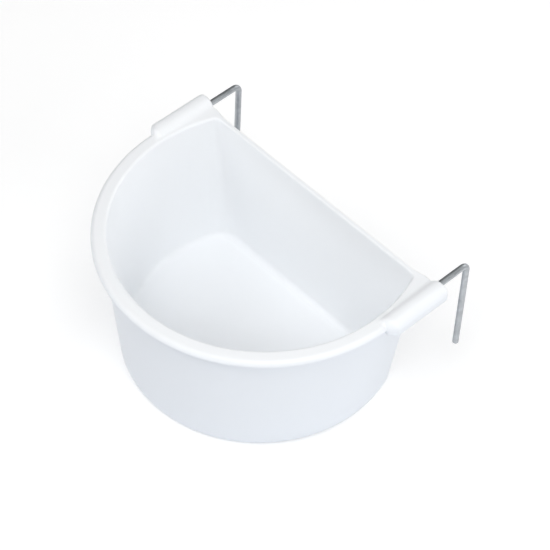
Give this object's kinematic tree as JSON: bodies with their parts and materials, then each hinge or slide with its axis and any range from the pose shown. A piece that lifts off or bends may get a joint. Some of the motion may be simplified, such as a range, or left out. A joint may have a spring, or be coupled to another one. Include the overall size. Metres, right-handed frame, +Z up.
{
  "type": "hook-on bird drinker",
  "caption": "Half-round white plastic cup with a flat back, a broad rim and a wire hook in a socket at each end, for hanging on cage bars.",
  "frame": {"origin": "on the flat underside of the base, under the centre of the cup's arc", "axes": "+Z up out of the cup's mouth, +Y out of the flat back towards the cage, +X along the back towards the right hook"},
  "size_m": [0.1104, 0.0879, 0.0509],
  "materials": {
    "cup": "smooth injection-moulded, semi-gloss white",
    "hook": "drawn galvanised wire, dull metallic grey"
  },
  "bodies": {
    "cup": {"cup": "cup"},
    "left_hook": {"left_hook": "hook"},
    "right_hook": {"right_hook": "hook"}
  },
  "joints": [
    {"name": "left_hook_swivel", "type": "hinge", "parent": "cup", "child": "left_hook", "pos_m": [-0.0506, 0.0125, 0.0482], "axis": [0, 1, 0], "continuous": true},
    {"name": "right_hook_swivel", "type": "hinge", "parent": "cup", "child": "right_hook", "pos_m": [0.0506, 0.0125, 0.0482], "axis": [0, 1, 0], "continuous": true}
  ]
}
